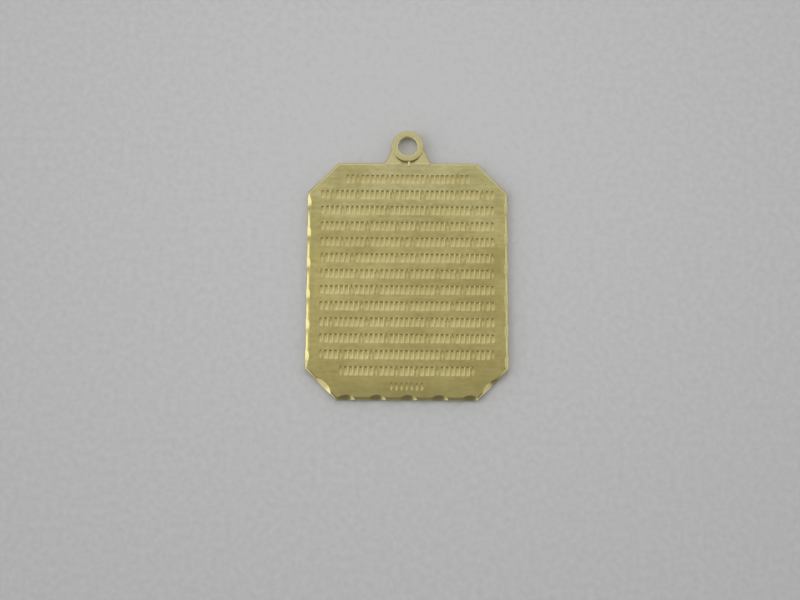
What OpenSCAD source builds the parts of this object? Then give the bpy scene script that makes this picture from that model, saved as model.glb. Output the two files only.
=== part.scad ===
// Prayer pendant: a flat struck plate with cut corners, a scooped rim and a cast eye.
// Millimetres. It lies on its back: +Z is up from the face, +Y points to the eye.
// The origin is at the middle of the overall outline, on the back's plane.

/* [Plate] */
// Width of the plate, side to side
plate_w = 20; // [18:0.5:24]
// Height of the plate, bottom edge to top edge
plate_h = 24.1; // [24.1:0.2:28.1]
// Thickness of the plate
plate_t = 0.75; // [0.75:0.05:0.95]
// Length that each 45 degree corner cut takes off a side
corner_cut = 3.05; // [2.6:0.05:3.4]
// Width of the worn band around the face, which curves down to the rim
rim_w = 0.46; // [0.3:0.02:0.5]
// Slope of the worn band where it ends at the rim, in degrees
rim_slope = 22; // [16:1:42]
// Width of the rounding where the band meets the rim's upright wall
edge_round = 0.1; // [0.04:0.01:0.1]

/* [Rim scoops] */
// Length of a scoop along the rim
scoop_len = 2.1; // [1.7:0.1:2.3]
// How far a side scoop reaches in over the face
scoop_reach = 0.38; // [0.36:0.02:0.52]
// How far a scoop on the bottom edge reaches in
low_reach = 0.48; // [0.36:0.02:0.52]
// How far below level the side scoops' axes point outwards, in degrees
side_lean = 30; // [28:1:42]
// The same for the scoops on the bottom edge and the lower corner cuts, in degrees
low_lean = 38; // [28:1:42]
// Distance from scoop to scoop on the bottom edge
scoop_pitch = 3.05; // [2.8:0.05:3.1]
// Distance from scoop to scoop on the long sides
side_pitch = 3.12; // [2.8:0.02:3.16]
// Number of scoops on each long side
side_scoops = 6; // [2:1:6]
// Number of scoops on the bottom edge
bottom_scoops = 5; // [1:2:5]
// Length of the one scoop on each lower corner cut
corner_scoop_len = 2.7; // [2.2:0.1:3.4]
// How far a corner scoop reaches in over the face
corner_scoop_reach = 0.45; // [0.36:0.01:0.6]
// How far a corner scoop sits down its cut from the cut's middle
corner_shift = 0.3; // [0:0.05:0.35]
// How far the scoops of the right side sit below the plate's middle
side_drop = 0.45; // [0:0.05:0.5]
// How far the scoops of the left side sit above those of the right side
left_shift = 0.5; // [0:0.05:0.6]
// How far the scoops of the bottom edge sit to the right of the middle
bottom_shift = 0.15; // [0:0.05:0.2]

/* [Eye] */
// Outside diameter of the eye
eye_d = 3.2; // [3.1:0.05:3.4]
// Diameter of the hole through the eye
eye_hole_d = 1.96; // [1.7:0.02:2.1]
// Thickness of the eye
eye_t = 0.8; // [0.76:0.02:1.2]
// Height of the eye's centre above the plate's top edge
eye_rise = 1.75; // [1.65:0.05:1.85]
// Radius that rounds the eye's upper edge around the hole
eye_inner_round = 0.28; // [0.15:0.01:0.28]
// Radius that rounds the eye's upper edge outside
eye_outer_round = 0.2; // [0.1:0.01:0.2]
// Radius that rounds the eye's edges at the back
eye_back_round = 0.08; // [0.04:0.01:0.1]

/* [Neck] */
// Width of the neck where it leaves the plate
neck_base_w = 4.7; // [4.2:0.1:5]
// Thickness of the neck
neck_t = 0.7; // [0.5:0.02:0.7]
// Radius on the face of the hollow that shows as a crescent at the eye's foot
hollow_r = 1.4; // [1.3:0.05:1.5]
// How far below the eye's centre the hollow's centre lies
hollow_shift = 0.7; // [0.5:0.05:0.8]
// Depth of that hollow under the face
hollow_depth = 0.2; // [0.1:0.02:0.24]
// Width of the small casting seam at the eye's foot
seam_w = 0.28; // [0.16:0.02:0.3]

/* [Face ornament] */
// Depth of a struck mark at its head
mark_depth = 0.12; // [0.08:0.01:0.2]
// Depth of a struck mark at its foot
foot_depth = 0.02; // [0.02:0.01:0.06]
// Width of a reed, the common oblong mark
reed_w = 0.36; // [0.26:0.01:0.38]
// Height of a reed
reed_h = 0.9; // [0.7:0.05:1]
// Width of a lozenge
lozenge_w = 0.4; // [0.3:0.01:0.42]
// Height of a lozenge
lozenge_h = 1.15; // [1:0.05:1.2]
// Distance from mark to mark along a row
cell_w = 0.5; // [0.48:0.01:0.6]
// Number of rows
row_count = 14; // [4:1:14]
// Distance from row to row
row_pitch = 1.63; // [1.5:0.01:1.64]
// Distance from the plate's top edge to the foot of the first row
first_row = 2.15; // [2.05:0.05:2.2]
// Bare margin at both ends of a long row
row_margin = 1.1; // [1:0.05:1.6]
// Bare margin at both ends of the first row
first_margin = 3.3; // [3.1:0.1:4.5]
// Bare margin at both ends of the last row but one
low_margin = 2.9; // [2.8:0.1:4.5]
// Bare margin at both ends of the last row
last_margin = 7.8; // [4.5:0.1:8.5]

/* [Hidden] */
$fn = 64;
gold = "#b9ab72";
clear = 0.02;
tool_len = 3;

total_h = plate_h + eye_rise + eye_d / 2;
plate_bottom = -total_h / 2;
plate_top = plate_bottom + plate_h;
eye_y = plate_top + eye_rise;
bottom_flat = plate_w - 2 * corner_cut;
side_flat = plate_h - 2 * corner_cut;
corner_flat = corner_cut * sqrt(2);
side_y = (plate_top + plate_bottom) / 2;
hollow_z = plate_t - hollow_depth;
hollow_y = eye_y - hollow_shift;

// The rim, one row for each edge: middle x, middle y, outward angle, edge length
half_cut = corner_cut / 2;
RIGHT = [plate_w / 2, side_y, 0, side_flat];
TOP = [0, plate_top, 90, bottom_flat];
LEFT = [-plate_w / 2, side_y, 180, side_flat];
BOTTOM = [0, plate_bottom, 270, bottom_flat];
cut_x = plate_w / 2 - half_cut;
LOW_LEFT = [-cut_x, plate_bottom + half_cut, 225, corner_flat];
LOW_RIGHT = [cut_x, plate_bottom + half_cut, 315, corner_flat];
HIGH_LEFT = [-cut_x, plate_top - half_cut, 135, corner_flat];
HIGH_RIGHT = [cut_x, plate_top - half_cut, 45, corner_flat];
EDGES = [RIGHT, HIGH_RIGHT, TOP, HIGH_LEFT, LEFT, LOW_LEFT, BOTTOM, LOW_RIGHT];

// The ornament is the same on both sides of the plate's middle line. A row is a chain of cells,
// numbered outwards from 0 on that line. Reeds stand side by side in bars, and a lozenge parts
// one bar from the next. The lozenges follow this cycle, which moves on from row to row, and the
// last row is all lozenges.
CYCLE = 31;
LOZENGES = [4, 10, 14, 21, 26];
ROW_STEP = 11;

function margin(row) =
    row == 0 ? first_margin :
    row == row_count - 1 ? last_margin :
    row == row_count - 2 ? low_margin :
    row_margin;
function last_cell(row) = floor((plate_w / 2 - margin(row)) / cell_w - 0.499);
function phase(row, cell) = (abs(cell) + ROW_STEP * row) % CYCLE;
function is_lozenge(row, cell) =
    row == row_count - 1 || len([for (p = LOZENGES) if (p == phase(row, cell)) p]) > 0;

// Turns and moves a tool that was made at the origin to an edge of the rim, facing out along +X
module at_edge(edge, along = 0) {
    translate([edge[0], edge[1], plate_t])
        rotate([0, 0, edge[2]])
            translate([0, along, 0])
                children();
}

// A round scoop through the upper rim, whose axis leans out and down
module scoop(length, reach, lean) {
    sag = reach * sin(lean);
    radius = (length * length / 4 + sag * sag) / (2 * sag);
    rotate([0, 90 + lean, 0])
        translate([-(radius - sag), 0, -tool_len / 2])
            cylinder(r = radius, h = tool_len);
}

// A bar whose hollow side wears the edge of the face down in an arc that gets steeper outwards,
// and then rounds the edge that is left
module wearing_bar(length) {
    steps = 3;
    radius = rim_w / sin(rim_slope);
    drop = radius * (1 - cos(rim_slope));
    last_slope = rim_slope * (1 - 0.5 / steps);
    turn = 90 - last_slope;
    round_r = edge_round / tan(turn / 2);
    arc = [
        for (i = [steps - 1 : -1 : 0])
            let (a = i / steps * rim_slope)
                [radius * sin(a) - rim_w, radius * (cos(a) - 1)]
    ];
    rounding = [
        for (i = [0 : steps])
            let (a = i / steps * turn)
                [round_r * (cos(a) - 1), round_r * sin(a) - drop - edge_round]
    ];
    rotate([90, 0, 0])
        translate([0, 0, -length / 2 - 1])
            linear_extrude(length + 2)
                polygon(concat(
                    [[clear, clear], [clear, -drop - edge_round]],
                    rounding,
                    arc,
                    [[-rim_w, clear]]
                ));
}

module outline() {
    x = plate_w / 2;
    polygon([
        [-x, plate_bottom + corner_cut],
        [-x + corner_cut, plate_bottom],
        [x - corner_cut, plate_bottom],
        [x, plate_bottom + corner_cut],
        [x, plate_top - corner_cut],
        [x - corner_cut, plate_top],
        [-x + corner_cut, plate_top],
        [-x, plate_top - corner_cut]
    ]);
}

module rim_cuts() {
    for (edge = EDGES)
        at_edge(edge)
            wearing_bar(edge[3]);
    for (i = [0 : side_scoops - 1]) {
        along = (i - (side_scoops - 1) / 2) * side_pitch - side_drop;
        at_edge(RIGHT, along)
            scoop(scoop_len, scoop_reach, side_lean);
        at_edge(LEFT, -along - left_shift)
            scoop(scoop_len, scoop_reach, side_lean);
    }
    for (i = [0 : bottom_scoops - 1])
        at_edge(BOTTOM, (i - (bottom_scoops - 1) / 2) * scoop_pitch + bottom_shift)
            scoop(scoop_len, low_reach, low_lean);
    at_edge(LOW_LEFT, corner_shift)
        scoop(corner_scoop_len, corner_scoop_reach, low_lean);
    at_edge(LOW_RIGHT, -corner_shift)
        scoop(corner_scoop_len, corner_scoop_reach, low_lean);
}

// The tool of an oblong mark, whose floor rises from its head to its foot
module reed() {
    rotate([90, 0, 90])
        translate([0, 0, -reed_w / 2])
            linear_extrude(reed_w)
                polygon([
                    [-reed_h / 2, clear],
                    [-reed_h / 2, -foot_depth],
                    [reed_h / 2, -mark_depth],
                    [reed_h / 2, clear]
                ]);
}

// The tool of a mark that parts two bars, with a level floor
module lozenge() {
    depth = (mark_depth + foot_depth) / 2;
    translate([0, 0, -depth])
        linear_extrude(depth + clear)
            polygon([[0, -lozenge_h / 2], [lozenge_w / 2, 0], [0, lozenge_h / 2], [-lozenge_w / 2, 0]]);
}

module ornament() {
    for (row = [0 : row_count - 1]) {
        y = plate_top - first_row - row * row_pitch + reed_h / 2;
        for (cell = [-last_cell(row) : last_cell(row)])
            translate([cell * cell_w, y, plate_t])
                if (is_lozenge(row, cell))
                    lozenge();
                else
                    reed();
    }
}

// The hollow in the neck and the plate's top edge, half hidden by the eye
module eye_hollow() {
    foot_r = eye_d / 2 + 0.05 - hollow_shift;
    grow = (hollow_r - foot_r) / hollow_depth * clear;
    translate([0, hollow_y, hollow_z])
        cylinder(r1 = foot_r, r2 = hollow_r + grow, h = hollow_depth + clear);
}

module plate() {
    difference() {
        linear_extrude(plate_t)
            outline();
        rim_cuts();
        ornament();
    }
}

// Half the neck's width at a height above the plate's top edge
function neck_half(h) = eye_d / 2 + (neck_base_w - eye_d) / 2 * pow(1 - h / eye_rise, 1.4);

module neck() {
    steps = 6;
    right = [for (i = [0 : steps - 1]) let (h = i / steps * eye_rise) [neck_half(h), h]];
    left = [for (i = [steps - 1 : -1 : 0]) [-right[i][0], right[i][1]]];
    top = [[eye_d / 2 - 0.1, eye_rise], [-eye_d / 2 + 0.1, eye_rise]];
    foot = [[-neck_base_w / 2, -1], [neck_base_w / 2, -1]];
    difference() {
        translate([0, plate_top, 0])
            linear_extrude(neck_t)
                polygon(concat(right, top, left, foot));
        translate([0, eye_y, -1])
            cylinder(r = (eye_d + eye_hole_d) / 4, h = plate_t + 2);
    }
}

// A rounded corner of the eye's section
function eye_corner(x, z, r, start) = [
    for (i = [0 : 4])
        let (a = start + i * 22.5)
            [x + r * cos(a), z + r * sin(a)]
];

// The eye's section is an oblong with rounded corners, whose inner wall is the bore
module eye() {
    inner = eye_hole_d / 2;
    outer = eye_d / 2;
    back = eye_back_round;
    translate([0, eye_y, 0])
        rotate_extrude()
            polygon(concat(
                eye_corner(outer - eye_outer_round, eye_t - eye_outer_round, eye_outer_round, 0),
                eye_corner(inner + eye_inner_round, eye_t - eye_inner_round, eye_inner_round, 90),
                eye_corner(inner + back, back, back, 180),
                eye_corner(outer - back, back, back, 270)
            ));
}

// The small seam of the casting, from the eye's foot over the hollow
module seam() {
    start = eye_y - eye_d / 2 + 0.2;
    stop = hollow_y - hollow_r - 0.1;
    translate([0, stop, hollow_z - 0.1])
        cube([seam_w, start - stop, hollow_depth + 0.06]);
}

module pendant() {
    color(gold) {
        difference() {
            union() {
                plate();
                neck();
            }
            eye_hollow();
        }
        eye();
        seam();
    }
}

pendant();
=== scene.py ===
"""The finished look of a flat struck pendant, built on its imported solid."""

import math
from contextlib import contextmanager

import bmesh
import bpy
from bpy.props import FloatProperty, FloatVectorProperty, IntProperty, PointerProperty
from bpy.types import Operator, Panel, PropertyGroup
from mathutils import Matrix, Vector


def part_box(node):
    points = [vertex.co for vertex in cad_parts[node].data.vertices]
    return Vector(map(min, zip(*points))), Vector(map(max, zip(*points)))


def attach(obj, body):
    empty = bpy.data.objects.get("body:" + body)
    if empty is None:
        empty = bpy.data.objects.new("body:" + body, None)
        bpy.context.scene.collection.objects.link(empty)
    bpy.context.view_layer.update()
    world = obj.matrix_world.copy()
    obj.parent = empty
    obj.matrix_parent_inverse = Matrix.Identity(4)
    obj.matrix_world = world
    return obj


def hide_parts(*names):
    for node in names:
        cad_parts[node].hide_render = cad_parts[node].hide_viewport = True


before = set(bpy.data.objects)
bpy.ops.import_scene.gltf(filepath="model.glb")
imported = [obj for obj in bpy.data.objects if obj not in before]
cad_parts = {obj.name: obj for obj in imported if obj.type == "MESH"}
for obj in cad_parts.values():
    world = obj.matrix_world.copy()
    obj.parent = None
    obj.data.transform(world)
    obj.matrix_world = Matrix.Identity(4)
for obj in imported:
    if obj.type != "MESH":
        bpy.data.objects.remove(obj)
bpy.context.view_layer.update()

bl_info = {
    "name": "Struck Pendant",
    "version": (1, 0, 0),
    "blender": (4, 5, 0),
    "location": "View3D > Sidebar > Pendant",
    "description": "Builds a flat struck pendant with a scooped rim, rows of marks and a cast eye",
    "category": "Add Mesh",
}

MM = 0.001
LOW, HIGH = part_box("pendant")
BODY = "pendant_body"

# How far a cutting tool stands clear of what it cuts, and the gap under which points are one
CLEAR = 0.05 * MM
MERGE_GAP = 0.0002 * MM

# How near its normal has to be to a direction, as a cosine, for a face to face that way
FACING = 0.9

# Segments of a rounded edge, of the eye's upper edges, and of a full turn round the eye
ROUND_SEGMENTS = 4
EYE_SEGMENTS = 6
TURN_SEGMENTS = 96

# How far in from the rim the metal is rubbed, and how far in it is rubbed all bright
WEAR_WIDTH = 0.16 * MM
WEAR_FULL = 0.05 * MM

# Painted light that pales the metal towards the eye
# How far under the plate's top edge the metal starts to get paler, and how far above it is palest
PALE_BELOW = 9 * MM
PALE_ABOVE = 1.1 * MM

# How far up from the plate's bottom edge the painted shade darkens the metal
PAINTED_SHADE_RISE = 10 * MM

# How far out from the eye's hole the metal is rubbed bright and painted lighter against its shade
BORE_WEAR_AND_LIGHT = 0.1 * MM

# How far under the face the painted shade in a mark starts to darken the metal
SHALLOW = 0.045 * MM

# How high the lines of the brushing stand
LINE_HEIGHT = 0.013 * MM

# How high the cast grain stands on each finish, and how strongly it shows
GRAIN = {
    "satin_gold": (0.006 * MM, 0.3),
    "cut_gold": (0.004 * MM, 0.25),
    "struck_gold": (0.012 * MM, 0.5),
    "cast_gold": (0.01 * MM, 0.5),
}

# How fine each noise is along X, Y and Z, in waves a metre
FINE_LINES = (260, 9000, 0)
MIDDLING_LINES = (120, 3600, 0)
BROAD_LINES = (60, 1100, 0)
GRAINS = (5200, 5200, 5200)
GRAIN_WAVES = (1100, 1100, 1100)
CLOUDS = (190, 260, 260)
SPECKS = (1500, 2600, 1500)
FIBRES = (1600, 1600, 1600)

# The age up to which metal is clean, the age from which it is dull, and how much rougher it is then
CLEAN_AGE = 0.39
DULL_AGE = 0.61
AGE_ROUGHNESS = 0.06


def distance(name, description, millimetres):
    """A size that the sidebar shows as a length."""
    return FloatProperty(
        name=name,
        description=description,
        default=millimetres * MM,
        precision=5,
        subtype="DISTANCE",
        unit="LENGTH",
    )


def share(name, description, default):
    """A value between none and all."""
    return FloatProperty(
        name=name, description=description, default=default, min=0, max=1, subtype="FACTOR"
    )


def count(name, description, number):
    """A number of like things."""
    return IntProperty(name=name, description=description, default=number)


def colour(name, description, default):
    """A colour without alpha, in linear light."""
    return FloatVectorProperty(
        name=name, description=description, default=default, min=0, max=1, size=3, subtype="COLOR"
    )


def angle(name, description, degrees):
    """An angle that the sidebar shows in degrees."""
    return FloatProperty(
        name=name,
        description=description,
        default=math.radians(degrees),
        subtype="ANGLE",
        unit="ROTATION",
    )


def power(name, description, watts):
    """The strength of a lamp."""
    return FloatProperty(
        name=name, description=description, default=watts, min=0, subtype="POWER", unit="POWER"
    )


class PlateSettings(PropertyGroup):
    """Sizes of the plate."""

    width: distance("Width", "Plate, side to side", (HIGH.x - LOW.x) / MM)
    thickness: distance("Thickness", "Plate, back to face", 0.75)
    corner_cut: distance("Corner cut", "Length that each corner cut takes off a side", 3.05)
    fall: distance("Fall", "How far the face falls away towards its rim", 0.08)
    fall_width: distance("Fall width", "Width of the band where the face falls away", 1.8)
    rim_width: distance("Rim width", "Width of the worn band that curves down to the rim", 0.46)
    rim_slope: angle("Rim slope", "Slope of the worn band where it ends at the rim", 22)
    edge_round: distance("Edge rounding", "Width of the rounding where the band ends", 0.1)
    back_round: distance("Back rounding", "Radius of the rounding around the back", 0.08)


class RimSettings(PropertyGroup):
    """Sizes of the bright scoops along the rim."""

    scoop_length: distance("Scoop length", "Length of a scoop along the rim", 2.1)
    scoop_reach: distance("Scoop reach", "How far a side scoop reaches in over the face", 0.38)
    low_reach: distance("Low reach", "How far a scoop on the bottom reaches in", 0.48)
    scoop_pitch: distance("Scoop pitch", "From scoop to scoop, on the bottom edge", 3.05)
    side_pitch: distance("Side pitch", "From scoop to scoop, on the long sides", 3.12)
    corner_length: distance("Corner scoop", "Length of the scoop on each lower corner cut", 2.7)
    corner_reach: distance("Corner reach", "How far a corner scoop reaches in over the face", 0.45)
    corner_shift: distance("Corner shift", "How far a corner's scoop sits down its cut", 0.3)
    side_lean: angle("Side lean", "How far below level a side scoop's axis points outwards", 30)
    low_lean: angle("Low lean", "How far below level a low scoop's axis points outwards", 38)
    side_drop: distance("Side drop", "How far the right scoops sit below the middle", 0.45)
    left_shift: distance("Left shift", "How far the left scoops sit above the right ones", 0.5)
    bottom_shift: distance("Bottom shift", "How far the bottom scoops sit to the right", 0.15)
    side_count: count("Side scoops", "Number of scoops on each long side", 6)
    bottom_count: count("Bottom scoops", "Number of scoops on the bottom edge", 5)


class MarkSettings(PropertyGroup):
    """Sizes of the rows of struck marks."""

    depth: distance("Depth", "How deep a mark is struck at its head", 0.12)
    foot_depth: distance("Foot depth", "How deep a mark is at its foot", 0.02)
    reed_width: distance("Reed width", "Width of a reed, the common oblong mark", 0.36)
    reed_height: distance("Reed height", "Height of a reed", 0.9)
    lozenge_width: distance("Lozenge width", "Width of a lozenge between two reeded bars", 0.4)
    lozenge_height: distance("Lozenge height", "Height of a lozenge", 1.15)
    cell_width: distance("Cell width", "Distance from mark to mark along a row", 0.5)
    row_count: count("Rows", "Number of rows", 14)
    row_pitch: distance("Row pitch", "Distance from row to row", 1.63)
    first_row: distance("First row", "Distance from the plate's top edge to the first foot", 2.15)
    row_margin: distance("Row margin", "Bare margin at both ends of a long row", 1.1)
    first_margin: distance("First margin", "Bare margin at both ends of the first row", 3.3)
    low_margin: distance("Low margin", "Bare margin at both ends of the last row but one", 2.9)
    last_margin: distance("Last margin", "Bare margin at both ends of the last row", 7.8)
    head_run: distance("Head run", "How far a mark's head and foot slope in", 0.12)
    side_run: distance("Side run", "How far a mark's sides slope in", 0.09)
    lip: distance("Lip", "How far the metal's rounded lip reaches past a mark", 0.03)


class EyeSettings(PropertyGroup):
    """Sizes of the eye and of the neck that carries it."""

    diameter: distance("Diameter", "Outside diameter of the eye", 3.2)
    hole: distance("Hole", "Diameter of the hole through the eye", 1.96)
    thickness: distance("Thickness", "Height of the eye above the back", (HIGH.z - LOW.z) / MM)
    rise: distance("Rise", "Height of the eye's centre above the plate's top edge", 1.75)
    inner_round: distance("Inner rounding", "Radius of the eye's upper edge at the hole", 0.28)
    outer_round: distance("Outer rounding", "Radius of the eye's upper edge outside", 0.2)
    back_round: distance("Back rounding", "Radius that rounds the eye's edges at the back", 0.08)
    neck_width: distance("Neck width", "Width of the neck where it leaves the plate", 4.7)
    neck_thickness: distance("Neck thickness", "Neck, back to front", 0.7)
    hollow_radius: distance("Hollow radius", "Hollow at the eye's foot, on the face", 1.4)
    hollow_shift: distance("Hollow shift", "From the eye's centre down to the hollow's", 0.7)
    hollow_depth: distance("Hollow depth", "How deep that hollow is", 0.2)
    seam_width: distance("Seam width", "Width of the small casting seam at the foot", 0.28)


class FinishSettings(PropertyGroup):
    """Colours and surface of the metal."""

    gold: colour("Gold", "Clean satin metal", (0.472, 0.41, 0.169))
    shade: colour("Shade", "Metal that has gone a little dull", (0.29, 0.24, 0.08))
    bright: colour("Bright", "Freshly cut metal in the scoops", (0.46, 0.405, 0.18))
    worn: colour("Worn", "Metal rubbed bright along the rim", (0.52, 0.48, 0.25))
    # Painted light that makes the marks paler than the face
    matt_painted_light: colour("Matt", "Paler metal at the feet of the marks", (0.56, 0.5, 0.26))
    # Painted shade in the deep heads of the marks
    deep: colour("Deep", "Darker metal in the deep heads of the marks", (0.37, 0.3, 0.09))
    # Painted shade that darkens the plate towards its foot
    foot: colour("Foot", "Duller metal at the foot of the plate", (0.412, 0.357, 0.146))
    # Rubbed bright, and also painted light that lifts the shade in the eye's hole
    bore: colour("Bore", "Metal rubbed bright in the eye's hole", (0.9, 0.82, 0.55))
    # Colour of the neck and the eye, and the painted light that the face pales to towards its top
    cream_and_painted_light: colour("Cream", "Paler metal of the neck and the eye", (0.485, 0.45, 0.245))
    tarnish: share("Tarnish", "How much of the dull colour shows", 0.6)
    satin: share("Satin roughness", "Roughness of the brushed face", 0.46)
    cut: share("Cut roughness", "Roughness of the rim's bright cuts", 0.2)
    rubbed: share("Rubbed roughness", "Roughness of the worn rim", 0.3)
    struck: share("Struck roughness", "Roughness inside the marks", 0.5)
    cast: share("Cast roughness", "Roughness of the neck and the eye", 0.44)
    brushing: share("Brushing", "Strength of the fine horizontal lines", 1.0)


class StageSettings(PropertyGroup):
    """The floor, the lamps and the camera."""

    floor: colour("Floor", "Pale paper under the pendant", (0.555, 0.553, 0.553))
    # Painted shade that darkens the paper towards the picture's corners
    painted_corner_shade: share("Corner shade", "Lightness of the paper at the picture's corners", 0.88)
    tilt: angle("Camera tilt", "How far the camera leans from straight above", 12)
    roll: angle("Roll", "How far the camera turns about its line of sight", 0.35)
    camera_distance: distance("Camera distance", "Camera to the point that it looks at", 168)
    look_x: distance("Look X", "Point on the floor at the picture's middle", -0.7)
    look_y: distance("Look Y", "Point on the floor at the picture's middle", -3.6)
    lens: FloatProperty(
        name="Lens",
        description="Focal length of the camera",
        default=76,
        subtype="DISTANCE_CAMERA",
        unit="CAMERA",
    )
    top: power("Top panel", "Broad soft panel overhead and behind", 1.86)
    front: power("Front panel", "Dim panel overhead and in front", 0.08)
    back: power("Back panel", "Upright panel behind the pendant's eye", 0.8)
    left: power("Left panel", "Bright upright panel at the left", 1.7)
    front_left: power("Front left panel", "Bright panel that carries it on to the front", 1.6)
    right: power("Right panel", "Weaker upright panel at the right", 1.15)
    room: share("Room light", "Even light from the room all around", 0.24)


class PendantSettings(PropertyGroup):
    """Every setting of the pendant and its stage."""

    plate: PointerProperty(type=PlateSettings)
    rim: PointerProperty(type=RimSettings)
    marks: PointerProperty(type=MarkSettings)
    eye: PointerProperty(type=EyeSettings)
    finish: PointerProperty(type=FinishSettings)
    stage: PointerProperty(type=StageSettings)


# Working by hand

def only(obj):
    """Makes obj the one selected and active object."""
    bpy.ops.object.select_all(action="DESELECT")
    obj.select_set(True)
    bpy.context.view_layer.objects.active = obj
    return obj


@contextmanager
def editing(obj, kind="FACE"):
    """Edit mode on obj, with nothing selected to begin with."""
    only(obj)
    bpy.ops.object.mode_set(mode="EDIT")
    bpy.ops.mesh.select_mode(type=kind)
    bpy.ops.mesh.select_all(action="DESELECT")
    yield
    bpy.ops.object.mode_set(mode="OBJECT")


def pick(obj, kind, test):
    """Selects the verts, edges or faces that pass a test, and nothing else."""
    bpy.ops.mesh.select_all(action="DESELECT")
    mesh = bmesh.from_edit_mesh(obj.data)
    found = [element for element in getattr(mesh, kind) if test(element)]
    if not found:
        raise RuntimeError(f"{obj.name}: none of its {kind} passed the test")
    for element in found:
        element.select_set(True)
    bmesh.update_edit_mesh(obj.data)


def added(name):
    """Names the primitive that was just added and sets its size and turn in its mesh."""
    obj = bpy.context.object
    obj.name = obj.data.name = name
    bpy.ops.object.transform_apply(location=True, rotation=True, scale=True)
    return obj


def add_box(name, low, high):
    """A box between two corners."""
    bpy.ops.object.select_all(action="DESELECT")
    middle = [(a + b) / 2 for a, b in zip(low, high)]
    size = [b - a for a, b in zip(low, high)]
    bpy.ops.mesh.primitive_cube_add(size=1, location=middle)
    bpy.context.object.scale = size
    return added(name)


def sink(depth, factors=(1, 1)):
    """Extrudes what is selected straight down and draws it in towards the origin."""
    bpy.ops.mesh.extrude_region_move(TRANSFORM_OT_translate={"value": (0, 0, -depth)})
    bpy.ops.transform.resize(value=(*factors, 1), center_override=(0, 0, 0))


def tidy_mesh(obj):
    """Merges doubles and turns every face outwards."""
    with editing(obj):
        bpy.ops.mesh.select_all(action="SELECT")
        bpy.ops.mesh.remove_doubles(threshold=MERGE_GAP)
        bpy.ops.mesh.normals_make_consistent(inside=False)


def apply_boolean(target, tool, operation):
    """Cuts a tool from the target or melts a piece to it, and removes the tool."""
    only(target)
    modifier = target.modifiers.new(operation.lower(), "BOOLEAN")
    modifier.operation = operation
    modifier.solver = "EXACT"
    modifier.material_mode = "TRANSFER"
    modifier.object = tool
    bpy.ops.object.modifier_apply(modifier=modifier.name)
    bpy.data.objects.remove(tool)


def lay_out(pattern, places):
    """Copies a pattern to each place, each copy with its own mesh, and joins the copies."""
    copies = []
    for place in places:
        copy = pattern.copy()
        copy.data = pattern.data.copy()
        copy.matrix_world = place
        bpy.context.collection.objects.link(copy)
        copies.append(copy)
    only(copies[0])
    for copy in copies:
        copy.select_set(True)
    bpy.ops.object.join()
    bpy.ops.object.transform_apply(location=True, rotation=True, scale=True)
    bpy.data.objects.remove(pattern)
    return copies[0]


def give_finish(obj, material):
    """Puts one finish all over an object."""
    obj.data.materials.clear()
    obj.data.materials.append(material)


# Node groups and materials

def new_group(name, inputs, outputs):
    """An empty shader node group, with what it is given and the sockets that take its results."""
    group = bpy.data.node_groups.new(name, "ShaderNodeTree")
    for socket, kind, default in inputs:
        made = group.interface.new_socket(socket, in_out="INPUT", socket_type=kind)
        if default is not None:
            made.default_value = default
    for socket, kind in outputs:
        group.interface.new_socket(socket, in_out="OUTPUT", socket_type=kind)
    given = group.nodes.new("NodeGroupInput").outputs
    results = group.nodes.new("NodeGroupOutput").inputs
    return group, given, results


def link(tree, output, target):
    """Joins two sockets."""
    tree.links.new(output, target)


def feed(tree, socket, value):
    """Gives a socket its value: a number, a colour, or what another socket puts out."""
    if isinstance(value, bpy.types.NodeSocket):
        link(tree, value, socket)
    else:
        socket.default_value = value


def noise(tree, vector, scale, detail):
    """A noise texture, stretched by a scale for each axis."""
    mapping = tree.nodes.new("ShaderNodeMapping")
    mapping.inputs["Scale"].default_value = scale
    texture = tree.nodes.new("ShaderNodeTexNoise")
    texture.inputs["Scale"].default_value = 1.0
    texture.inputs["Detail"].default_value = detail
    link(tree, vector, mapping.inputs["Vector"])
    link(tree, mapping.outputs["Vector"], texture.inputs["Vector"])
    return texture.outputs["Fac"]


def split(tree, vector):
    """The X, Y and Z of a vector."""
    node = tree.nodes.new("ShaderNodeSeparateXYZ")
    link(tree, vector, node.inputs["Vector"])
    return node.outputs


def maths(tree, operation, first, second=0.0):
    """A maths node on two values, each a socket or a number."""
    node = tree.nodes.new("ShaderNodeMath")
    node.operation = operation
    for socket, value in zip(node.inputs, (first, second)):
        feed(tree, socket, value)
    return node.outputs[0]


def vector_maths(tree, operation, vector, second):
    """What a vector maths node puts out for a vector and a fixed one."""
    node = tree.nodes.new("ShaderNodeVectorMath")
    node.operation = operation
    node.inputs[1].default_value = second
    link(tree, vector, node.inputs[0])
    return node.outputs


def weigh(tree, *parts):
    """The sum of values that are each taken times a weight."""
    weighed = [maths(tree, "MULTIPLY", value, weight) for value, weight in parts]
    total = weighed[0]
    for part in weighed[1:]:
        total = maths(tree, "ADD", total, part)
    return total


def spread(tree, value, low, high, new_low=0.0, new_high=1.0):
    """Maps a value from one range to another and stops at its ends."""
    node = tree.nodes.new("ShaderNodeMapRange")
    for name, number in (
        ("Value", value),
        ("From Min", low),
        ("From Max", high),
        ("To Min", new_low),
        ("To Max", new_high),
    ):
        feed(tree, node.inputs[name], number)
    return node.outputs["Result"]


def blend(tree, factor, first, second):
    """A colour between two, each a socket or a colour."""
    mix = tree.nodes.new("ShaderNodeMix")
    mix.data_type = "RGBA"
    for name, value in (("Factor", factor), ("A", first), ("B", second)):
        feed(tree, mix.inputs[name], value)
    return mix.outputs["Result"]


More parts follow.
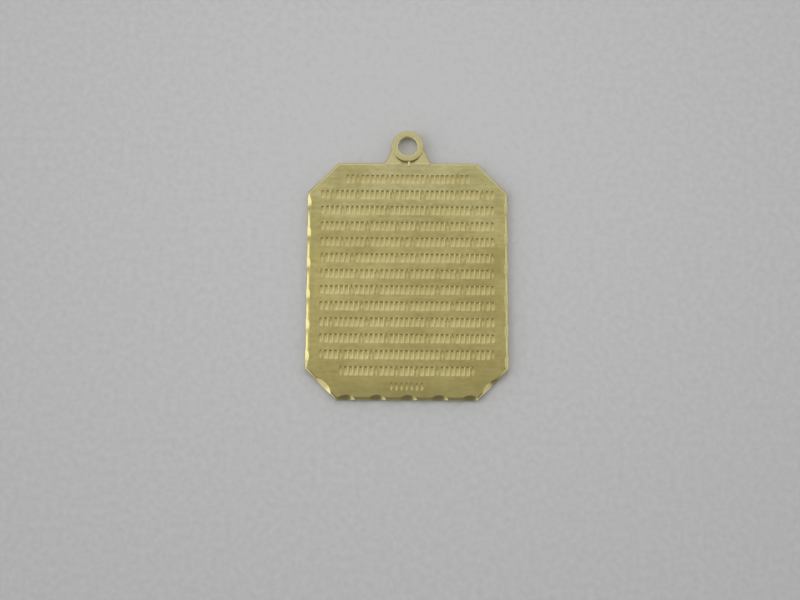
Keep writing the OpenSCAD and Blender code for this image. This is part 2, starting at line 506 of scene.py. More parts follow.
def brushing_group():
    """Fine scratches along X, in three sizes, as a height, and the broader ones as streaks."""
    tree, given, results = new_group(
        "brushing",
        [("Vector", "NodeSocketVector", None)],
        [("Height", "NodeSocketFloat"), ("Streaks", "NodeSocketFloat")],
    )
    fine = noise(tree, given["Vector"], FINE_LINES, detail=1)
    middling = noise(tree, given["Vector"], MIDDLING_LINES, detail=1)
    broad = noise(tree, given["Vector"], BROAD_LINES, detail=1)
    streaks = weigh(tree, (middling, 0.6), (broad, 0.4))
    height = weigh(tree, (fine, 0.4), (streaks, 0.6))
    link(tree, height, results["Height"])
    link(tree, streaks, results["Streaks"])
    return tree


def grain_group():
    """A fine even grain on low waves, as a height."""
    tree, given, results = new_group(
        "cast_grain",
        [("Vector", "NodeSocketVector", None)],
        [("Height", "NodeSocketFloat")],
    )
    grain = noise(tree, given["Vector"], GRAINS, detail=2)
    waves = noise(tree, given["Vector"], GRAIN_WAVES, detail=1)
    height = weigh(tree, (grain, 0.5), (waves, 0.5))
    link(tree, height, results["Height"])
    return tree


def age_group():
    """Cloudy wear: a colour between clean and dull, and the roughness that goes with it."""
    tree, given, results = new_group(
        "soft_age",
        [
            ("Vector", "NodeSocketVector", None),
            ("Clean", "NodeSocketColor", None),
            ("Dull", "NodeSocketColor", None),
            ("Amount", "NodeSocketFloat", 0.35),
            ("Roughness", "NodeSocketFloat", 0.35),
            ("Streaks", "NodeSocketFloat", 0.5),
        ],
        [("Color", "NodeSocketColor"), ("Roughness", "NodeSocketFloat")],
    )
    clouds = noise(tree, given["Vector"], CLOUDS, detail=3)
    specks = noise(tree, given["Vector"], SPECKS, detail=2)
    age = weigh(tree, (clouds, 0.45), (specks, 0.3), (given["Streaks"], 0.25))
    mask = spread(tree, age, CLEAN_AGE, DULL_AGE)
    dull = maths(tree, "MULTIPLY", mask, given["Amount"])
    aged = blend(tree, dull, given["Clean"], given["Dull"])
    rough = maths(tree, "ADD", given["Roughness"], maths(tree, "MULTIPLY", mask, AGE_ROUGHNESS))
    link(tree, aged, results["Color"])
    link(tree, rough, results["Roughness"])
    return tree


def worn_rim_group():
    """Metal rubbed bright and smooth along the plate's outline."""
    tree, given, results = new_group(
        "worn_rim",
        [
            ("Vector", "NodeSocketVector", None),
            ("Color", "NodeSocketColor", None),
            ("Roughness", "NodeSocketFloat", 0.35),
            ("Worn", "NodeSocketColor", None),
            ("Rubbed", "NodeSocketFloat", 0.2),
        ],
        [("Color", "NodeSocketColor"), ("Roughness", "NodeSocketFloat")],
    )
    settings = bpy.context.scene.pendant
    bottom, top = plate_span(settings)
    half_width = settings.plate.width / 2
    half_height = (top - bottom) / 2
    corner = half_width + half_height - settings.plate.corner_cut
    place = split(tree, given["Vector"])
    across = maths(tree, "ABSOLUTE", place["X"])
    along = maths(tree, "ABSOLUTE", maths(tree, "SUBTRACT", place["Y"], (top + bottom) / 2))
    past_sides = maths(tree, "SUBTRACT", across, half_width)
    past_ends = maths(tree, "SUBTRACT", along, half_height)
    past_edges = maths(tree, "MAXIMUM", past_sides, past_ends)
    past_corner = maths(tree, "SUBTRACT", maths(tree, "ADD", across, along), corner)
    past_cuts = maths(tree, "MULTIPLY", past_corner, math.sqrt(0.5))
    outside = maths(tree, "MAXIMUM", past_edges, past_cuts)
    mask = spread(tree, outside, -WEAR_WIDTH, -WEAR_FULL)
    rubbed = blend(tree, mask, given["Color"], given["Worn"])
    rough = spread(tree, mask, 0.0, 1.0, given["Roughness"], given["Rubbed"])
    link(tree, rubbed, results["Color"])
    link(tree, rough, results["Roughness"])
    return tree


def shared_group(name):
    """A node group by its name, built the first time that it is asked for."""
    makers = {
        "brushing": brushing_group,
        "cast_grain": grain_group,
        "soft_age": age_group,
        "worn_rim": worn_rim_group,
    }
    return bpy.data.node_groups.get(name) or makers[name]()


def group_node(material, name, vector, **values):
    """Places a node group in a material, with its own values."""
    node = material.node_tree.nodes.new("ShaderNodeGroup")
    node.node_tree = shared_group(name)
    link(material.node_tree, vector, node.inputs["Vector"])
    for socket, value in values.items():
        node.inputs[socket].default_value = value
    return node


def new_metal(name, clean, dull, tarnish, roughness):
    """A metal with soft age in its colour and roughness, its coordinates and its age's node."""
    material = bpy.data.materials.new(name)
    material.use_nodes = True
    tree = material.node_tree
    shader = tree.nodes["Principled BSDF"]
    shader.inputs["Metallic"].default_value = 1.0
    vector = tree.nodes.new("ShaderNodeTexCoord").outputs["Object"]
    aged = group_node(
        material, "soft_age", vector,
        Clean=(*clean, 1), Dull=(*dull, 1), Amount=tarnish, Roughness=roughness,
    )
    link(tree, aged.outputs["Color"], shader.inputs["Base Color"])
    link(tree, aged.outputs["Roughness"], shader.inputs["Roughness"])
    return material, vector, aged


def wear_rim(material, vector, aged, finish):
    """Puts the worn rim between a metal's age and its shader."""
    tree = material.node_tree
    rim = group_node(
        material, "worn_rim", vector, Worn=(*finish.worn, 1), Rubbed=finish.rubbed
    )
    shader = tree.nodes["Principled BSDF"]
    for name, target in (("Color", "Base Color"), ("Roughness", "Roughness")):
        link(tree, aged.outputs[name], rim.inputs[name])
        link(tree, rim.outputs[name], shader.inputs[target])


def add_relief(material, height, depth, strength, under=None):
    """A bump of a real depth in metres, on top of another normal if there is one."""
    tree = material.node_tree
    bump = tree.nodes.new("ShaderNodeBump")
    bump.inputs["Strength"].default_value = strength
    bump.inputs["Distance"].default_value = depth
    link(tree, height, bump.inputs["Height"])
    if under is not None:
        link(tree, under, bump.inputs["Normal"])
    link(tree, bump.outputs["Normal"], tree.nodes["Principled BSDF"].inputs["Normal"])
    return bump.outputs["Normal"]


def add_grain(material, vector, under=None):
    """Puts the cast grain on a metal, on top of another normal if there is one."""
    grain = group_node(material, "cast_grain", vector)
    depth, strength = GRAIN[material.name]
    add_relief(material, grain.outputs["Height"], depth, strength, under)


def painted_light_and_shade_by_height(tree, vector, finish):
    """The clean metal's colour, with painted light up to the eye and painted shade down to the
    plate's foot.
    """
    bottom, top = plate_span(bpy.context.scene.pendant)
    height = split(tree, vector)["Y"]
    mask = spread(tree, height, bottom, bottom + PAINTED_SHADE_RISE)
    clean = blend(tree, mask, (*finish.foot, 1), (*finish.gold, 1))
    mask = spread(tree, height, top - PALE_BELOW, top + PALE_ABOVE)
    return blend(tree, mask, clean, (*finish.cream_and_painted_light, 1))


def satin_gold(finish):
    """The brushed face and back."""
    material, vector, aged = new_metal(
        "satin_gold", finish.gold, finish.shade, finish.tarnish, finish.satin
    )
    tree = material.node_tree
    # Painted light and shade: the face is paler towards the eye and darker towards its foot
    link(tree, painted_light_and_shade_by_height(tree, vector, finish), aged.inputs["Clean"])
    wear_rim(material, vector, aged, finish)
    brushing = group_node(material, "brushing", vector)
    link(tree, brushing.outputs["Streaks"], aged.inputs["Streaks"])
    lines = add_relief(material, brushing.outputs["Height"], LINE_HEIGHT, finish.brushing)
    add_grain(material, vector, lines)
    return material


def cut_gold(finish):
    """The rim's bright cuts and worn edges, and the casting seam."""
    material, vector, aged = new_metal(
        "cut_gold", finish.bright, finish.gold, finish.tarnish, finish.cut
    )
    wear_rim(material, vector, aged, finish)
    add_grain(material, vector)
    return material


def struck_gold(finish):
    """The walls and floors of the marks, painted light, and painted shade where they are deep."""
    material, vector, aged = new_metal(
        "struck_gold", finish.matt_painted_light, finish.gold, finish.tarnish, finish.struck
    )
    settings = bpy.context.scene.pendant
    face = settings.plate.thickness
    tree = material.node_tree
    height = split(tree, vector)["Z"]
    # Painted shade darkens the deep heads, and the paler matt metal is painted light
    mask = spread(tree, height, face - settings.marks.depth, face - SHALLOW)
    clean = blend(tree, mask, (*finish.deep, 1), (*finish.matt_painted_light, 1))
    link(tree, clean, aged.inputs["Clean"])
    add_grain(material, vector)
    return material


def cast_gold(finish):
    """The neck, the eye and the hollow at its foot, rubbed bright and painted lighter in the eye's
    hole.
    """
    material, vector, aged = new_metal(
        "cast_gold", finish.cream_and_painted_light, finish.gold, finish.tarnish, finish.cast
    )
    settings = bpy.context.scene.pendant
    tree = material.node_tree
    flat = vector_maths(tree, "MULTIPLY", vector, (1, 1, 0))["Vector"]
    # Painted light as well as wear: the metal round the eye's hole is brighter to lift its shade
    away = vector_maths(tree, "DISTANCE", flat, (0, eye_centre(settings), 0))["Value"]
    bore = settings.eye.hole / 2
    mask = spread(tree, away, bore, bore + BORE_WEAR_AND_LIGHT)
    clean = blend(tree, mask, (*finish.bore, 1), painted_light_and_shade_by_height(tree, vector, finish))
    link(tree, clean, aged.inputs["Clean"])
    add_grain(material, vector)
    return material


def finish_named(name, finish):
    """A finish by its name, made the first time that it is asked for."""
    makers = {
        "satin_gold": satin_gold,
        "cut_gold": cut_gold,
        "struck_gold": struck_gold,
        "cast_gold": cast_gold,
    }
    return bpy.data.materials.get(name) or makers[name](finish)


# Places that several pieces share

def plate_span(settings):
    """The heights on the page of the plate's bottom edge and top edge."""
    bottom = LOW.y
    top = HIGH.y - settings.eye.diameter / 2 - settings.eye.rise
    return bottom, top


def eye_centre(settings):
    """The height on the page of the eye's centre."""
    return plate_span(settings)[1] + settings.eye.rise


def rim_edges(settings):
    """The middle of each edge that has scoops, and the way that it faces, in degrees."""
    bottom, top = plate_span(settings)
    x = settings.plate.width / 2
    half_cut = settings.plate.corner_cut / 2
    middle = (bottom + top) / 2
    return {
        "right": (x, middle, 0),
        "left": (-x, middle, 180),
        "left corner": (half_cut - x, bottom + half_cut, 225),
        "bottom": (0, bottom, 270),
        "right corner": (x - half_cut, bottom + half_cut, 315),
    }


def at_rim(settings, edge, along):
    """The place of a tool that faces out along X, on a rim edge."""
    x, y, facing = rim_edges(settings)[edge]
    place = Matrix.Translation((x, y, settings.plate.thickness - settings.plate.fall))
    turn = Matrix.Rotation(math.radians(facing), 4, "Z")
    return place @ turn @ Matrix.Translation((0, along, 0))


class PENDANT_OT_add_plate(Operator):
    """Adds the plate with its corner cuts and its worn edges"""

    bl_idname = "pendant.add_plate"
    bl_label = "Add Plate"
    bl_options = {"REGISTER", "UNDO"}

    # Steps in the worn band's curve
    RIM_STEPS = 4
    # Share of the fall that the face rises by in each step in from the worn band
    FALL_SHARES = (0.56, 0.33, 0.11)
    # How far up or down a face points, as a cosine, that no longer counts as the rim's
    LEVEL = 0.98

    def blank(self, settings, height):
        """The plate up to the rim's top line, with its corners cut off"""
        bottom, top = plate_span(settings)
        x = settings.plate.width / 2
        body = add_box(BODY, (-x, bottom, 0), (x, top, height))
        give_finish(body, finish_named("satin_gold", settings.finish))
        body.data.materials.append(finish_named("cut_gold", settings.finish))
        with editing(body, "EDGE"):
            pick(body, "edges", lambda e: abs(e.verts[0].co.z - e.verts[1].co.z) > CLEAR)
            bpy.ops.mesh.bevel(offset=settings.plate.corner_cut, segments=1)
        return body

    def raise_face(self, plate, body, radius):
        """The worn band's curve and the face's low dome, a step in and up at a time"""
        with editing(body):
            pick(body, "faces", lambda f: f.normal.z > FACING)
            for step in range(self.RIM_STEPS, 0, -1):
                outer = plate.rim_slope * step / self.RIM_STEPS
                inner = plate.rim_slope * (step - 1) / self.RIM_STEPS
                bpy.ops.mesh.inset(
                    thickness=radius * (math.sin(outer) - math.sin(inner)),
                    depth=radius * (math.cos(inner) - math.cos(outer)),
                )
            for rise in self.FALL_SHARES:
                bpy.ops.mesh.inset(
                    thickness=plate.fall_width / len(self.FALL_SHARES), depth=rise * plate.fall
                )

    def round_edges(self, body, height, width):
        """Rounds the edges that lie level at a height"""
        with editing(body, "EDGE"):
            pick(body, "edges", lambda e: all(abs(v.co.z - height) < MERGE_GAP for v in e.verts))
            bpy.ops.mesh.bevel(offset=width, segments=ROUND_SEGMENTS)

    def execute(self, context):
        settings = context.scene.pendant
        plate = settings.plate
        radius = plate.rim_width / math.sin(plate.rim_slope)
        drop = radius * (1 - math.cos(plate.rim_slope))
        height = plate.thickness - plate.fall - drop
        body = self.blank(settings, height)
        self.raise_face(plate, body, radius)
        self.round_edges(body, height, plate.edge_round)
        self.round_edges(body, 0, plate.back_round)
        with editing(body):
            pick(body, "faces", lambda f: abs(f.normal.z) < self.LEVEL)
            body.active_material_index = body.data.materials.find("cut_gold")
            bpy.ops.object.material_slot_assign()
        return {"FINISHED"}


class PENDANT_OT_cut_rim(Operator):
    """Cuts the bright scoops across the rim"""

    bl_idname = "pendant.cut_rim"
    bl_label = "Cut Rim Scoops"
    bl_options = {"REGISTER", "UNDO"}

    # Facets of a scoop's cutter, and its length
    FACETS = 128
    CUTTER_LENGTH = 3 * MM

    def scoop(self, name, length, reach, lean, material):
        """A round cutter whose axis leans out and down across the edge's top line"""
        sag = reach * math.sin(lean)
        radius = (length**2 / 4 + sag**2) / (2 * sag)
        offset = radius - sag
        bpy.ops.object.select_all(action="DESELECT")
        bpy.ops.mesh.primitive_cylinder_add(
            vertices=self.FACETS,
            radius=radius,
            depth=self.CUTTER_LENGTH,
            location=(offset * math.sin(lean), 0, offset * math.cos(lean)),
            rotation=(0, math.radians(90) + lean, 0),
        )
        cutter = added(name)
        give_finish(cutter, material)
        return cutter

    def spots(self, number, pitch, shift):
        """Evenly spaced distances along an edge, shifted from its middle"""
        return [(i - (number - 1) / 2) * pitch + shift for i in range(number)]

    def execute(self, context):
        settings = context.scene.pendant
        rim = settings.rim
        bright = finish_named("cut_gold", settings.finish)
        sides = []
        for along in self.spots(rim.side_count, rim.side_pitch, -rim.side_drop):
            sides.append(at_rim(settings, "right", along))
            sides.append(at_rim(settings, "left", -along - rim.left_shift))
        low = [
            at_rim(settings, "bottom", along)
            for along in self.spots(rim.bottom_count, rim.scoop_pitch, rim.bottom_shift)
        ]
        corners = [
            at_rim(settings, "left corner", rim.corner_shift),
            at_rim(settings, "right corner", -rim.corner_shift),
        ]
        body = bpy.data.objects[BODY]
        for name, length, reach, lean, places in (
            ("side_scoop", rim.scoop_length, rim.scoop_reach, rim.side_lean, sides),
            ("low_scoop", rim.scoop_length, rim.low_reach, rim.low_lean, low),
            ("corner_scoop", rim.corner_length, rim.corner_reach, rim.low_lean, corners),
        ):
            cutter = self.scoop(name, length, reach, lean, bright)
            apply_boolean(body, lay_out(cutter, places), "DIFFERENCE")
        return {"FINISHED"}


# The ornament is the same on both sides of the plate's middle line. A row is a chain of cells,
# numbered outwards from 0 on that line. Reeds stand side by side in bars, and a lozenge parts
# one bar from the next. The lozenges follow this cycle, which moves on from row to row, and the
# last row is all lozenges.
CYCLE = 31
LOZENGES = (4, 10, 14, 21, 26)
ROW_STEP = 11

# Half a cell, less a hair, so that rounding never drops a last cell that just fits
HALF_CELL = 0.499


def last_cell(settings, row):
    """The number of the outermost cell of a row."""
    marks = settings.marks
    margins = {
        0: marks.first_margin,
        marks.row_count - 2: marks.low_margin,
        marks.row_count - 1: marks.last_margin,
    }
    room = settings.plate.width / 2 - margins.get(row, marks.row_margin)
    return math.floor(room / marks.cell_width - HALF_CELL)


def mark_kind(settings, row, cell):
    """The kind of mark in a cell of a row."""
    in_last_row = row == settings.marks.row_count - 1
    in_cycle = (abs(cell) + ROW_STEP * row) % CYCLE in LOZENGES
    return "lozenge" if in_last_row or in_cycle else "reed"


class PENDANT_OT_strike_marks(Operator):
    """Strikes the rows of reeds and lozenges into the face"""

    bl_idname = "pendant.strike_marks"
    bl_label = "Strike Face Marks"
    bl_options = {"REGISTER", "UNDO"}

    # Share of the depth and of the walls' run at each step from the face to the floor
    WALL = ((0.2, 0.3), (0.5, 0.4), (0.3, 0.3))
    # Rounding of a reed's corners, as a share of its half width, and its segments
    REED_ROUND = 0.4
    REED_SEGMENTS = 2

    def outline(self, name, half_width, half_height, height):
        """A mark's outline as a flat sheet at a height: four corners, and a reed's are rounded"""
        bpy.ops.object.select_all(action="DESELECT")
        if name == "lozenge":
            bpy.ops.mesh.primitive_circle_add(
                vertices=4, radius=1, fill_type="NGON", location=(0, 0, height)
            )
        else:
            bpy.ops.mesh.primitive_plane_add(size=2, location=(0, 0, height))
        bpy.context.object.scale = (half_width, half_height, 1)
        sheet = added(name)
        if name == "reed":
            with editing(sheet, "VERT"):
                bpy.ops.mesh.select_all(action="SELECT")
                bpy.ops.mesh.bevel(
                    offset=self.REED_ROUND * half_width,
                    segments=self.REED_SEGMENTS,
                    affect="VERTICES",
                )
        return sheet

    def punch(self, settings, name, width, height):
        """A tool with sloping walls, whose floor rises from its head to its foot"""
        marks = settings.marks
        level = settings.plate.thickness
        x = width / 2 + marks.lip
        y = height / 2 + marks.lip
        tool = self.outline(name, x, y, level + CLEAR)
        tilt = math.atan((marks.depth - marks.foot_depth) / height)
        with editing(tool):
            bpy.ops.mesh.select_all(action="SELECT")
            sink(CLEAR)
            for deeper, inward in self.WALL:
                next_x = x - inward * marks.side_run
                next_y = y - inward * marks.head_run
                sink(deeper * marks.depth, (next_x / x, next_y / y))
                x = next_x
                y = next_y
                level -= deeper * marks.depth
                bpy.ops.transform.rotate(
                    value=deeper * tilt, orient_axis="X", center_override=(0, y, level)
                )
            bpy.ops.mesh.select_all(action="SELECT")
            bpy.ops.mesh.normals_make_consistent(inside=False)
        give_finish(tool, finish_named("struck_gold", settings.finish))
        return tool

    def execute(self, context):
        settings = context.scene.pendant
        marks = settings.marks
        first = plate_span(settings)[1] - marks.first_row + marks.reed_height / 2
        places = {"reed": [], "lozenge": []}
        for row in range(marks.row_count):
            last = last_cell(settings, row)
            for cell in range(-last, last + 1):
                place = (cell * marks.cell_width, first - row * marks.row_pitch, 0)
                places[mark_kind(settings, row, cell)].append(Matrix.Translation(place))
        reed = self.punch(settings, "reed", marks.reed_width, marks.reed_height)
        lozenge = self.punch(settings, "lozenge", marks.lozenge_width, marks.lozenge_height)
        laid = [lay_out(reed, places["reed"]), lay_out(lozenge, places["lozenge"])]
        only(laid[0])
        for tool in laid:
            tool.select_set(True)
        bpy.ops.object.join()
        apply_boolean(bpy.data.objects[BODY], laid[0], "DIFFERENCE")
        return {"FINISHED"}


class PENDANT_OT_add_eye(Operator):
    """Adds the neck, the eye, the hollow at its foot and the casting seam to the plate"""

    bl_idname = "pendant.add_eye"
    bl_label = "Add Neck and Eye"
    bl_options = {"REGISTER", "UNDO"}

    # Steps from the neck's foot to the eye, and how strongly its flanks curve in between
    NECK_STEPS = 8
    NECK_CURVE = 1.4
    # How far the neck starts inside the plate, and how much narrower than the eye it ends
    NECK_ROOT = 1 * MM
    NECK_TUCK = 0.1 * MM
    # Width of the rounding on the neck's flanks, and how far aside they point, as a cosine
    NECK_ROUND = 0.16 * MM
    FLANK = 0.3
    # Length of the tool that bores the neck for the eye
    BORER_LENGTH = 4 * MM
    # How far the hollow's floor reaches out past the eye
    HOLLOW_FLOOR = 0.05 * MM
    # How far the seam runs in under the eye, out past the hollow and down under its floor
    SEAM_IN = 0.2 * MM
    SEAM_OUT = 0.1 * MM
    SEAM_DOWN = 0.1 * MM
    # How far the seam's crest lies under the face, and the width of its rounding
    SEAM_DROP = 0.04 * MM
    SEAM_ROUND = 0.1 * MM

    def hollow(self, settings, centre):
        """The flared cutter of the crescent at the eye's foot"""
        eye = settings.eye
        foot = eye.diameter / 2 + self.HOLLOW_FLOOR - eye.hollow_shift
        height = eye.hollow_depth + CLEAR
        floor = settings.plate.thickness - eye.hollow_depth
        top = eye.hollow_radius + (eye.hollow_radius - foot) / eye.hollow_depth * CLEAR
        bpy.ops.object.select_all(action="DESELECT")
        bpy.ops.mesh.primitive_cone_add(
            vertices=TURN_SEGMENTS, radius1=foot, radius2=top, depth=height,
            location=(0, centre - eye.hollow_shift, floor + height / 2),
        )
        return added("hollow")

    def web(self, settings):
        """The web that narrows in a curve from the plate to the eye"""
        eye = settings.eye
        top = plate_span(settings)[1]
        half = eye.neck_width / 2
        web = add_box("neck", (-half, top - self.NECK_ROOT, 0), (half, top, eye.neck_thickness))
        width = half
        with editing(web):
            pick(web, "faces", lambda f: f.normal.y > FACING)
            for step in range(1, self.NECK_STEPS + 1):
                left = 1 - step / self.NECK_STEPS
                reach = eye.diameter / 2 + (half - eye.diameter / 2) * left**self.NECK_CURVE
                if step == self.NECK_STEPS:
                    reach -= self.NECK_TUCK
                bpy.ops.mesh.extrude_region_move(
                    TRANSFORM_OT_translate={"value": (0, eye.rise / self.NECK_STEPS, 0)}
                )
                bpy.ops.transform.resize(value=(reach / width, 1, 1), center_override=(0, 0, 0))
                width = reach
        return web

    def neck(self, settings, centre):
        """The web with its upper edges rounded, bored out to the middle of the eye's wall"""
        eye = settings.eye
        neck = self.web(settings)
        height = eye.neck_thickness - CLEAR
        with editing(neck, "EDGE"):
            pick(
                neck, "edges",
                lambda e: all(v.co.z > height for v in e.verts)
                and any(abs(f.normal.x) > self.FLANK for f in e.link_faces)
                and abs(e.verts[0].co.y - e.verts[1].co.y) > CLEAR,
            )
            bpy.ops.mesh.bevel(offset=self.NECK_ROUND, segments=ROUND_SEGMENTS)
        half_way = (eye.diameter + eye.hole) / 4
        bpy.ops.object.select_all(action="DESELECT")
        bpy.ops.mesh.primitive_cylinder_add(
            vertices=TURN_SEGMENTS, radius=half_way, depth=self.BORER_LENGTH,
            location=(0, centre, 0),
        )
        apply_boolean(neck, added("neck_bore"), "DIFFERENCE")
        return neck

    def ring(self, settings, centre):
        """The eye: a rounded oblong section spun round the hole"""
        eye = settings.eye
        wall = (eye.diameter - eye.hole) / 2
        bpy.ops.object.select_all(action="DESELECT")
        bpy.ops.mesh.primitive_plane_add(size=1)
        bpy.context.object.scale = (wall, eye.thickness, 1)
        ring = added("eye")
        with editing(ring, "VERT"):
            for test, width, segments in (
                (lambda v: v.co.y > 0 and v.co.x < 0, eye.inner_round, EYE_SEGMENTS),
                (lambda v: v.co.y > 0 and v.co.x > wall / 2 - CLEAR, eye.outer_round, EYE_SEGMENTS),
                (lambda v: v.co.y < eye.back_round - eye.thickness / 2, eye.back_round,
                 ROUND_SEGMENTS),
            ):
                pick(ring, "verts", test)
                bpy.ops.mesh.bevel(offset=width, segments=segments, affect="VERTICES")
            bpy.ops.mesh.select_all(action="SELECT")
            bpy.ops.transform.rotate(
                value=math.radians(90), orient_axis="X", center_override=(0, 0, 0)
            )
            middle = (eye.hole / 2 + wall / 2, centre, eye.thickness / 2)
            bpy.ops.transform.translate(value=middle)
            bpy.ops.mesh.delete(type="ONLY_FACE")
            bpy.ops.mesh.select_all(action="SELECT")
            bpy.ops.mesh.spin(
                steps=TURN_SEGMENTS, angle=math.radians(360), center=(0, centre, 0), axis=(0, 0, 1)
            )
        tidy_mesh(ring)
        return ring

    def seam(self, settings, centre):
        """The small raised line that the casting left at the foot of the eye"""
        eye = settings.eye
        start = centre - eye.diameter / 2 + self.SEAM_IN
        stop = centre - eye.hollow_shift - eye.hollow_radius - self.SEAM_OUT
        crest = settings.plate.thickness - self.SEAM_DROP
        foot = settings.plate.thickness - eye.hollow_depth - self.SEAM_DOWN
        seam = add_box("seam", (0, stop, foot), (eye.seam_width, start, crest))
        with editing(seam, "EDGE"):
            pick(seam, "edges", lambda e: all(v.co.z > crest - CLEAR for v in e.verts))
            bpy.ops.mesh.bevel(offset=self.SEAM_ROUND, segments=ROUND_SEGMENTS)
        return seam

    def brush_foot(self, settings, body):
        """Gives the plate's finish to the neck's face where it reaches in over the plate"""
        top = plate_span(settings)[1] + CLEAR
        cast = body.data.materials.find("cast_gold")
        with editing(body):
            pick(
                body, "faces",
                lambda f: f.material_index == cast
                and f.normal.z > FACING
                and all(v.co.y < top for v in f.verts),
            )
            body.active_material_index = body.data.materials.find("satin_gold")
            bpy.ops.object.material_slot_assign()

    def execute(self, context):
        settings = context.scene.pendant
        body = bpy.data.objects[BODY]
        for make, operation, finish in (
            (self.neck, "UNION", "cast_gold"),
            (self.hollow, "DIFFERENCE", "cast_gold"),
            (self.ring, "UNION", "cast_gold"),
            (self.seam, "UNION", "cut_gold"),
        ):
            piece = make(settings, eye_centre(settings))
            give_finish(piece, finish_named(finish, settings.finish))
            apply_boolean(body, piece, operation)
        self.brush_foot(settings, body)
        return {"FINISHED"}


class PENDANT_OT_finish(Operator):
    """Smooths the curved stretches of the mesh and ties it to the frame"""

    bl_idname = "pendant.finish"
    bl_label = "Finish Pendant"
    bl_options = {"REGISTER", "UNDO"}

    # Faces that meet at less than this are smoothed into one another
    SMOOTH_ANGLE = math.radians(24)
    # How far up a face points, as a cosine, that counts as part of the flat field
    FLAT = 0.99

    def mark_borders(self, body):
        """Keeps the edges sharp where a mark or the casting meets the flat field"""
        relief = {body.data.materials.find(name) for name in ("struck_gold", "cast_gold")}
        with editing(body, "EDGE"):
            pick(
                body, "edges",
                lambda e: max(f.normal.z for f in e.link_faces) > self.FLAT
                and e.link_faces[0].material_index != e.link_faces[1].material_index
                and relief & {f.material_index for f in e.link_faces},
            )
            bpy.ops.mesh.mark_sharp()

    def execute(self, context):
        body = bpy.data.objects[BODY]
        only(body)
        bpy.ops.object.shade_smooth_by_angle(angle=self.SMOOTH_ANGLE)
        self.mark_borders(body)
        modifier = body.modifiers.new("weighted", "WEIGHTED_NORMAL")
        modifier.keep_sharp = True
        bpy.ops.object.modifier_apply(modifier=modifier.name)
        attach(body, "root")
        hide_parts("pendant")
        return {"FINISHED"}


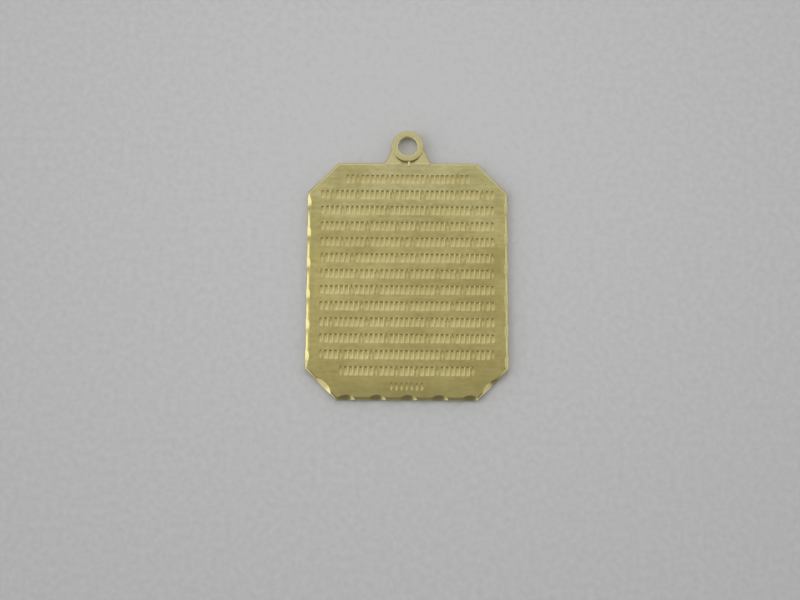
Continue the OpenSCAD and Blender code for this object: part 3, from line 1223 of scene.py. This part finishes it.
class PENDANT_OT_add_stage(Operator):
    """Adds the pale floor, the soft lamps and the camera"""

    bl_idname = "pendant.add_stage"
    bl_label = "Add Stage"
    bl_options = {"REGISTER", "UNDO"}

    # Length of the floor's sides in metres
    FLOOR_SIZE = 4
    # Point at which the paper is lightest, and where round it the painted corner shade starts and
    # ends
    LIGHTEST = (0, 0.01, 0)
    SHADE_START = 0.01
    SHADE_END = 0.055
    # Range of the fibre's noise, and the shade that its ends give the paper
    FIBRE_NOISE = (0.3, 0.7)
    FIBRE_SHADE = (0.95, 1.05)
    PAPER_ROUGHNESS = 0.9
    PAPER_SPECULAR = 0.1
    # Each panel's setting, its place, the point that it faces, and its width and height, in metres
    PANELS = (
        ("top", (0, 0.33, 0.5), (0, 0.33, 0), (1, 0.66)),
        ("front", (0, -0.2, 0.5), (0, -0.2, 0), (1, 0.34)),
        ("back", (0, 0.5, 0.2), (0, 0, 0.2), (0.9, 0.34)),
        ("left", (-0.5, 0, 0.3), (0, 0, 0.3), (0.5, 0.58)),
        ("front_left", (-0.5, -0.63, 0.36), (0, -0.63, 0.36), (0.72, 0.7)),
        ("right", (0.5, -0.07, 0.3), (0, -0.07, 0.3), (0.8, 0.58)),
    )
    # Nearest and farthest that the camera sees
    CLIP = (1 * MM, 10)

    def pale_paper(self, stage):
        """Paper with a fine fibre, and painted shade that darkens it a little towards the picture's
        corners
        """
        material = bpy.data.materials.new("pale_paper")
        material.use_nodes = True
        tree = material.node_tree
        shader = tree.nodes["Principled BSDF"]
        vector = tree.nodes.new("ShaderNodeTexCoord").outputs["Object"]
        # Painted shade: the paper darkens from its lightest point out towards the corners
        away = vector_maths(tree, "DISTANCE", vector, self.LIGHTEST)["Value"]
        light = spread(tree, away, self.SHADE_START, self.SHADE_END, 1.0, stage.painted_corner_shade)
        fibre = noise(tree, vector, FIBRES, detail=3)
        fibre = spread(tree, fibre, *self.FIBRE_NOISE, *self.FIBRE_SHADE)
        shade = maths(tree, "MULTIPLY", light, fibre)
        paper = blend(tree, shade, (0.0, 0.0, 0.0, 1), (*stage.floor, 1))
        link(tree, paper, shader.inputs["Base Color"])
        shader.inputs["Roughness"].default_value = self.PAPER_ROUGHNESS
        shader.inputs["Specular IOR Level"].default_value = self.PAPER_SPECULAR
        return material

    def floor(self, stage):
        """The sheet of paper that the pendant lies on"""
        bpy.ops.object.select_all(action="DESELECT")
        bpy.ops.mesh.primitive_plane_add(size=self.FLOOR_SIZE)
        floor = added("floor")
        give_finish(floor, self.pale_paper(stage))

    def panel(self, name, place, target, size, watts):
        """A soft lamp, wide and high as its size says, that faces a point"""
        aim = (Vector(target) - Vector(place)).to_track_quat("-Z", "Y").to_euler()
        bpy.ops.object.light_add(type="AREA", location=place, rotation=aim)
        lamp = bpy.context.object
        lamp.name = lamp.data.name = name
        lamp.data.shape = "RECTANGLE"
        lamp.data.size, lamp.data.size_y = size
        lamp.data.energy = watts

    def room(self, stage):
        """Even light from all around"""
        world = bpy.data.worlds.new("room")
        world.use_nodes = True
        background = world.node_tree.nodes["Background"]
        background.inputs["Color"].default_value = (1, 1, 1, 1)
        background.inputs["Strength"].default_value = stage.room
        bpy.context.scene.world = world

    def camera(self, stage):
        """A camera that leans back from straight above, as the photograph's does"""
        back = Vector((0, -math.sin(stage.tilt), math.cos(stage.tilt))) * stage.camera_distance
        place = Vector((stage.look_x, stage.look_y, 0)) + back
        turn = Matrix.Rotation(stage.tilt, 3, "X") @ Matrix.Rotation(stage.roll, 3, "Z")
        bpy.ops.object.camera_add(location=place, rotation=turn.to_euler())
        camera = bpy.context.object
        camera.data.lens = stage.lens
        camera.data.clip_start, camera.data.clip_end = self.CLIP
        bpy.context.scene.camera = camera

    def execute(self, context):
        stage = context.scene.pendant.stage
        self.floor(stage)
        for setting, place, target, size in self.PANELS:
            name = setting.replace("_", " ")
            self.panel(name, place, target, size, getattr(stage, setting))
        self.room(stage)
        context.scene.view_settings.view_transform = "Standard"
        self.camera(stage)
        return {"FINISHED"}


class PENDANT_PT_sidebar(Panel):
    """The pendant's steps and settings in the sidebar"""

    bl_idname = "PENDANT_PT_sidebar"
    bl_label = "Struck Pendant"
    bl_space_type = "VIEW_3D"
    bl_region_type = "UI"
    bl_category = "Pendant"

    def draw(self, context):
        layout = self.layout
        settings = context.scene.pendant
        for step in STEPS:
            layout.operator(step.bl_idname)
        for name in ("plate", "rim", "marks", "eye", "finish", "stage"):
            group = getattr(settings, name)
            box = layout.box()
            box.label(text=name.capitalize())
            for setting in group.__annotations__:
                box.prop(group, setting)


STEPS = (
    PENDANT_OT_add_plate,
    PENDANT_OT_cut_rim,
    PENDANT_OT_add_eye,
    PENDANT_OT_strike_marks,
    PENDANT_OT_finish,
    PENDANT_OT_add_stage,
)
CLASSES = (
    PlateSettings,
    RimSettings,
    MarkSettings,
    EyeSettings,
    FinishSettings,
    StageSettings,
    PendantSettings,
    *STEPS,
    PENDANT_PT_sidebar,
)


def register():
    """Adds the classes, and the settings to the scene."""
    for cls in CLASSES:
        bpy.utils.register_class(cls)
    bpy.types.Scene.pendant = PointerProperty(type=PendantSettings)


def unregister():
    """Takes the settings and the classes away again."""
    del bpy.types.Scene.pendant
    for cls in reversed(CLASSES):
        bpy.utils.unregister_class(cls)


def main():
    """Builds the pendant and its stage."""
    register()
    bpy.ops.pendant.add_plate()
    bpy.ops.pendant.cut_rim()
    bpy.ops.pendant.add_eye()
    bpy.ops.pendant.strike_marks()
    bpy.ops.pendant.finish()
    bpy.ops.pendant.add_stage()


if __name__ == "__main__":
    main()
